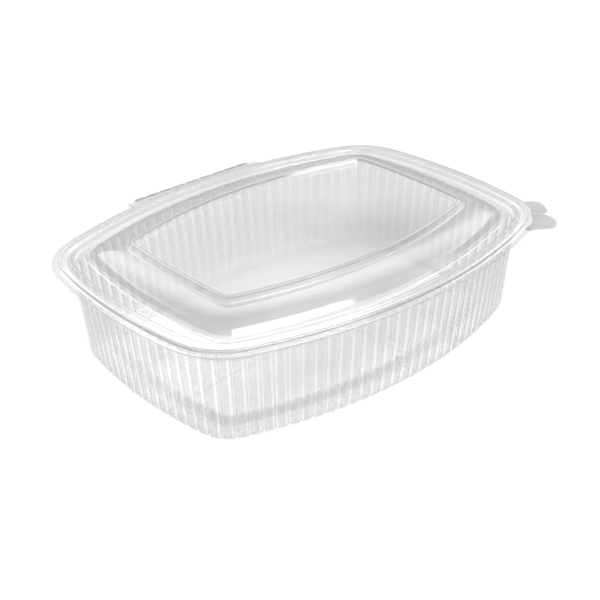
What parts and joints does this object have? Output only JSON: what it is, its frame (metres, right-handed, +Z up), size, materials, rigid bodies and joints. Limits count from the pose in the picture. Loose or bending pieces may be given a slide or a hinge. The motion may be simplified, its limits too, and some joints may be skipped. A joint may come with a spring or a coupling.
{
  "type": "takeaway meal container",
  "caption": "Clear hinged-lid meal container with a ribbed bowed-rectangle tray, a low domed lid with a raised stacking ridge, and finger tabs at a front corner.",
  "frame": {"origin": "middle of the whole container in plan, at the level of the foot it stands on", "axes": "+X along the long side, +Y towards the hinge at the back, +Z up"},
  "size_m": [0.2376, 0.1824, 0.0611],
  "materials": {
    "clear_sheet": "clear, glossy, slightly grey where the sheet is seen edge on"
  },
  "bodies": {
    "tray": {"tray": "clear_sheet"},
    "lid": {"lid": "clear_sheet"}
  },
  "joints": [
    {"name": "lid_hinge", "type": "hinge", "parent": "tray", "child": "lid", "pos_m": [0, 0.0913, 0.05175], "axis": [-1, 0, 0], "range_deg": [0, 180]}
  ]
}
